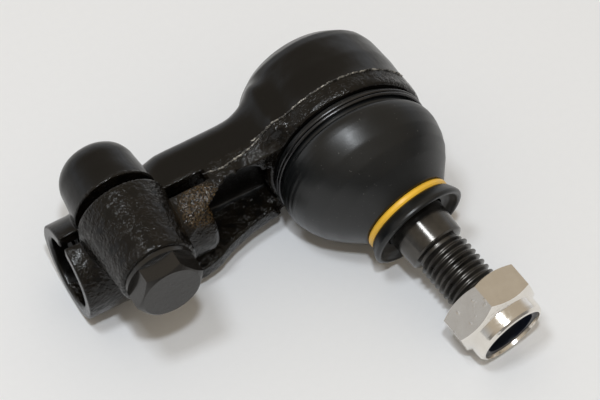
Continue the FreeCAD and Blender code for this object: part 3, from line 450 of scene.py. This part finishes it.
def soften_forging(mesh):
    """Round the forged skin's edges a little and fill its inner corners with fillets."""
    edges = np.array([e.vertices[:] for e in mesh.edges])
    first, second = edges.T
    points = read_points(mesh)
    size = len(points)
    count = np.bincount(edges.ravel(), minlength=size).astype(float)
    zone = forged_zone(points)[:, None]
    for _ in range(4):
        zone = np.minimum(zone, neighbour_mean(zone, first, second, count, size))
    for _ in range(SKIN_ROUNDS):
        pull = neighbour_mean(points, first, second, count, size) - points
        points += pull * PULL * (0.25 + 0.75 * zone)
    x, y, _ = points.T
    root = (ramp(x, -26, -21) * ramp(-x, 11.5, 14) * ramp(y, -1.2, 1.0))[:, None]
    for _ in range(ROOT_ROUNDS):
        pull = neighbour_mean(points, first, second, count, size) - points
        points += pull * PULL * root
    for _ in range(FILLET_ROUNDS):
        write_points(mesh, points)
        normals = read_normals(mesh)
        for _ in range(FILLET_STEPS):
            pull = neighbour_mean(points, first, second, count, size) - points
            outward = np.maximum((pull * normals).sum(axis=1, keepdims=True), 0)
            points += normals * outward * zone * 0.9
    return points, zone[:, 0]


def make_forging():
    """The housing as forged: rounded, filleted and slightly uneven skin over the CAD solid."""
    mesh = frame["nodes"]["housing"].data.copy()
    mesh.transform(PLACE.inverted())
    source = bpy.data.objects.new("housing_source", mesh)
    bpy.context.scene.collection.objects.link(source)
    remesh = source.modifiers.new("remesh", "REMESH")
    remesh.mode = "VOXEL"
    remesh.voxel_size = VOXEL
    evaluated = source.evaluated_get(bpy.context.evaluated_depsgraph_get())
    skin = bpy.data.meshes.new_from_object(evaluated)
    bpy.data.objects.remove(source)

    points, zone = soften_forging(skin)
    write_points(skin, points)
    normals = read_normals(skin)
    rough = np.zeros(len(points))
    for spot, reach, strength in ROUGH_SPOTS:
        gap = np.linalg.norm(points - np.array(spot), axis=1)
        rough = np.maximum(rough, ramp(-gap, -reach, 0) * strength)
    from_cup = np.hypot(points[:, 0], points[:, 2])
    band = ramp(from_cup, 18.6, 19.0) * ramp(-points[:, 1], BAND_START, BAND_FULL)
    rough = np.maximum(rough, band * 0.8)
    height = lattice_noise(points, 6.0, 1) * 0.07 + lattice_noise(points, 2.2, 2) * 0.035
    height += rough * (lattice_noise(points, 1.0, 3) * 0.07 + lattice_noise(points, 0.6, 4) * 0.05)
    write_points(skin, points + normals * (height * zone)[:, None])
    return skin


def flash_path(dice):
    """Rays (start, direction) onto the skin: along the arm's top, then round the cup."""
    path = []
    for x in np.arange(-34.0, -17.6, 0.22):
        place = np.interp(x, [-34, -29, -25.4, -22, -18.3], [-3.9, -4.6, -3.9, -3.3, -2.5])
        path.append((Vector((x, place + dice.normal(0, 0.08), 30)), Vector((0, 0, -1))))
    for angle in np.arange(150.0, 28.0, -0.7):
        way = Vector((math.cos(math.radians(angle)), 0, math.sin(math.radians(angle))))
        path.append((way * 40 + Vector((0, -2.1 + dice.normal(0, 0.06), 0)), -way))
    return path


def make_flash_line(skin):
    """Ragged line of flash left at the forging plane."""
    tree = BVHTree.FromPolygons([v.co for v in skin.vertices], [p.vertices[:] for p in skin.polygons])
    dice = np.random.default_rng(11)
    path = flash_path(dice)
    points, faces = [], []
    for start, way in path:
        hit = tree.ray_cast(start, way)[0]
        wide = 0.22 + 0.10 * abs(dice.normal())
        high = 0.14 + 0.16 * abs(dice.normal())
        section = ((-wide, -0.12), (-wide * 0.3, high), (wide * 0.3, high * 0.9), (wide, -0.12))
        for shift, lift in section:
            points.append(hit + Vector((0, shift, 0)) - way * lift)
    for ring in range(len(path) - 1):
        if (points[4 * ring] - points[4 * ring + 4]).length > 2.5:
            continue
        for side in range(4):
            a, b = 4 * ring + side, 4 * ring + (side + 1) % 4
            faces.append((a, b, b + 4, a + 4))
    mesh = bpy.data.meshes.new("flash_line")
    mesh.from_pydata([p[:] for p in points], [], faces)
    mesh.validate()
    return mesh


# ---------------------------------------------------------------- boot

SIDES = 128

# Along the boot's axis: where bending starts and stops, and the ring between the skirt and the neck.
FREE_FROM = 9.0
STIFF_FROM = 25.5
SPLIT_AT = 17.0

# Outer wall of the boot: distance from the ball along its bent axis, and radius.
BOOT_OUTSIDE = [
    (6.5, 17.7), (6.65, 17.85), (7.2, 17.8), (9.9, 17.7), (10.15, 17.62), (10.4, 17.95), (10.75, 18.55),
    (11.3, 18.9), (12.2, 19.08), (13.2, 19.08), (14.2, 18.9), (16.5, 18.2), (19.0, 16.9), (21.5, 14.9),
    (23.6, 12.8), (25.0, 11.4), (25.45, 11.0), (25.62, 10.5), (25.66, 9.72), (27.3, 9.72),
    (27.36, 10.4), (27.6, 10.75), (28.3, 11.15), (29.2, 11.6), (29.9, 11.85), (30.4, 11.8), (30.7, 11.45),
    (30.75, 11.0), (30.55, 10.6), (30.0, 10.2), (29.3, 9.4), (28.9, 8.4), (28.8, 7.4),
]
BOOT_INSIDE = [
    (6.5, 17.7), (6.5, 15.5), (8.5, 15.5), (8.8, 16.5), (10.3, 16.5), (11.4, 17.1), (13.2, 17.3),
    (14.5, 17.1), (16.5, 16.5), (19.0, 15.35), (21.5, 13.3), (23.6, 11.0), (25.6, 8.2), (27.3, 7.3),
    (28.8, 7.4),
]
# Folds beside the cuff: distance between them, and the angle round the boot where they are deepest.
CREASE_GAP = 0.95
CREASE_SIDE = 200.0
CREASE_DEPTH = 0.11
CREASE_PLACE = 13.0
CREASE_REACH = 2.4
# The outer wall's creased stretch is wider than this; the inner wall is narrower.
CREASE_RADIUS = 17.8


def follow(profile, spacing, sharp):
    """Points along a smooth curve through the profile, closer together than the spacing."""
    knots = np.array(profile, float)
    lengths = np.r_[0, np.cumsum(np.linalg.norm(np.diff(knots, axis=0), axis=1))]
    steps = np.arange(0, lengths[-1], spacing / 4)
    steps = np.union1d(steps, lengths)
    dense = np.stack([np.interp(steps, lengths, knots[:, i]) for i in (0, 1)], axis=1)
    for _ in range(sharp):
        dense[1:-1] = (dense[:-2] + dense[1:-1] * 2 + dense[2:]) / 4
    keep = [0]
    for index in range(1, len(dense) - 1):
        turn = dense[index + 1] - dense[index]
        before = dense[index] - dense[keep[-1]]
        length = np.linalg.norm(before)
        cross = abs(turn[0] * before[1] - turn[1] * before[0])
        bend = cross / (np.linalg.norm(turn) * length + 1e-9)
        if length > spacing or bend > 0.12 and length > spacing / 5:
            keep.append(index)
    keep.append(len(dense) - 1)
    return dense[keep]


def bend_share(distance):
    """Share of the stud's tilt at a distance along the boot."""
    share = min(max((distance - FREE_FROM) / (STIFF_FROM - FREE_FROM), 0), 1)
    return share * share * (3 - 2 * share)


def crease(distance, angle):
    """Shallow folds parallel to the cuff, deepest on one side of the boot."""
    share = max(math.cos(angle - math.radians(CREASE_SIDE)), 0) ** 2
    fade = max(1 - abs(distance - CREASE_PLACE) / CREASE_REACH, 0)
    return -CREASE_DEPTH * share * fade * (1 - math.cos(math.tau * distance / CREASE_GAP))


def make_boot_part(name, profile):
    """Mesh of revolution bent along the boot's axis, from (distance, radius) in order."""
    points, faces = [], []
    for distance, radius in profile:
        pose = tilt(bend_share(distance))
        for side in range(SIDES):
            angle = math.tau * side / SIDES
            reach = radius + crease(distance, angle) * (radius > CREASE_RADIUS)
            points.append(pose @ Vector((reach * math.cos(angle), -distance, reach * math.sin(angle))))
    for ring in range(len(profile) - 1):
        for side in range(SIDES):
            a, b = ring * SIDES + side, ring * SIDES + (side + 1) % SIDES
            faces.append((a, a + SIDES, b + SIDES, b))
    mesh = bpy.data.meshes.new(name)
    mesh.from_pydata([p[:] for p in points], [], faces)
    mesh.validate()
    return mesh


def split_profile():
    """The boot's closed section, cut at SPLIT_AT into a skirt and a neck that share both cut rings."""
    outside = follow(BOOT_OUTSIDE, 0.25, 2)
    inside = follow(BOOT_INSIDE, 0.7, 2)[::-1]
    halves = []
    for wall in (outside, inside):
        order = wall if wall[0, 0] < wall[-1, 0] else wall[::-1]
        radius = float(np.interp(SPLIT_AT, order[:, 0], order[:, 1]))
        cut = np.array([[SPLIT_AT, radius]])
        near_side = order[order[:, 0] < SPLIT_AT]
        far_side = order[len(near_side):]
        halves.append((np.vstack([near_side, cut]), np.vstack([cut, far_side])))
    (out_near, out_far), (in_near, in_far) = halves
    return np.vstack([in_near[::-1], out_near]), np.vstack([out_far, in_far[::-1]])


def make_boot():
    """Skirt and neck of the boot, each bent at rest from the cup's axis towards the stud's; the CAD boot is
    hidden.
    """
    skirt_profile, neck_profile = split_profile()
    skirt_mesh = make_boot_part("boot_skirt", skirt_profile)
    neck_mesh = make_boot_part("boot_neck", neck_profile)
    skirt = show("boot_skirt", skirt_mesh, RUBBER)
    neck = show("boot_neck", neck_mesh, RUBBER)
    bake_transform(skirt)
    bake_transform(neck)
    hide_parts("dust_boot")
    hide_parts("dust_boot")


forging = make_forging()
flash = show("flash_line", make_flash_line(forging), flash_metal())
housing = show("housing_forging", forging, FORGED)
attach(housing, "housing")
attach(flash, "housing")
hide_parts("housing")
make_boot()

# ---------------------------------------------------------------- floor, lights and camera


def make_floor():
    """Pale, slightly uneven paper under the part."""
    bpy.ops.mesh.primitive_plane_add(size=3.0, location=(0, 0, 0))
    floor = bpy.context.object
    floor.name = "floor"
    n = Nodes("paper")
    grain = n.noise(0.6, 3.0)
    floor.data.materials.append(n.finish(
        Base_Color=n.mix_colour(grain, (0.86, 0.875, 0.90), (0.84, 0.855, 0.88)), Roughness=0.6,
        Normal=n.bump(grain, 0.05, 0.1)))


def aim(thing, position, target, roll=0.0):
    """Point -Z of a light or camera from position at target, with a roll in radians."""
    way = (Vector(target) - Vector(position)).normalized()
    spin = Matrix.Rotation(roll, 3, "Z").to_quaternion()
    thing.rotation_mode = "QUATERNION"
    thing.location = position
    thing.rotation_quaternion = way.to_track_quat("-Z", "Y") @ spin


def sky(azimuth, elevation, distance, centre):
    """Point at a distance from centre; azimuth 0 is towards -Y, 90 towards +X, in degrees."""
    a, e = math.radians(azimuth), math.radians(elevation)
    return centre + Vector((math.sin(a) * math.cos(e), -math.cos(a) * math.cos(e), math.sin(e))) * distance


def make_lamp(name, azimuth, elevation, distance, width, power, shade):
    """Square lamp of the given width that shines on the part."""
    data = bpy.data.lights.new(name, "AREA")
    data.size = width
    data.energy = power
    data.color = shade
    lamp = bpy.data.objects.new(name, data)
    bpy.context.scene.collection.objects.link(lamp)
    centre = Vector((0, 0, 0.02))
    aim(lamp, sky(azimuth, elevation, distance, centre), centre)


def make_world():
    """A room: pale behind the part, dark in front of it, with a tan ceiling."""
    world = bpy.data.worlds.new("room")
    bpy.context.scene.world = world
    world.use_nodes = True
    tree = world.node_tree
    background = tree.nodes["Background"]
    coordinates = tree.nodes.new("ShaderNodeTexCoord")
    split = tree.nodes.new("ShaderNodeSeparateXYZ")
    tree.links.new(coordinates.outputs["Generated"], split.inputs[0])
    walls = tree.nodes.new("ShaderNodeValToRGB")
    set_ramp(walls, (0.30, (0.75, 0.77, 0.80)), (0.62, (0.16, 0.155, 0.15)))
    turned = tree.nodes.new("ShaderNodeMapRange")
    turned.inputs["From Min"].default_value = 1
    turned.inputs["From Max"].default_value = -1
    tree.links.new(split.outputs["Y"], turned.inputs["Value"])
    tree.links.new(turned.outputs["Result"], walls.inputs[0])
    height = tree.nodes.new("ShaderNodeMapRange")
    height.inputs["From Min"].default_value = 0.12
    height.inputs["From Max"].default_value = 0.55
    tree.links.new(split.outputs["Z"], height.inputs["Value"])
    mix = tree.nodes.new("ShaderNodeMix")
    mix.data_type = "RGBA"
    tree.links.new(height.outputs["Result"], mix.inputs["Factor"])
    tree.links.new(walls.outputs[0], mix.inputs["A"])
    mix.inputs["B"].default_value = (0.43, 0.375, 0.30, 1)
    tree.links.new(mix.outputs["Result"], background.inputs["Color"])
    background.inputs["Strength"].default_value = 1.10


def set_ramp(node, first, last):
    """Give a colour ramp its two ends, each a position and a colour."""
    for element, (place, shade) in zip(node.color_ramp.elements, (first, last)):
        element.position = place
        element.color = (*shade, 1)


def make_camera():
    """A long lens from above, in front and to the clamp's side, aimed in the ball's own frame."""
    data = bpy.data.cameras.new("camera")
    data.sensor_width = 36
    data.lens = 216
    camera = bpy.data.objects.new("camera", data)
    bpy.context.scene.collection.objects.link(camera)
    target = Vector((-14.78, -11.45, -3.45))
    aim(camera, sky(-23.33, 55.26, 789, target), target, math.radians(-6.54))
    camera.location = PLACE @ camera.location
    camera.rotation_quaternion = PLACE.to_quaternion() @ camera.rotation_quaternion
    bpy.context.scene.camera = camera


make_floor()
make_world()
make_lamp("key", -34, 68, 1.1, 0.07, 4.0, (0.90, 0.95, 1.0))
make_lamp("second", -84, 72, 1.1, 0.18, 3.1, (0.90, 0.95, 1.0))
make_camera()
bpy.context.scene.view_settings.view_transform = "Standard"
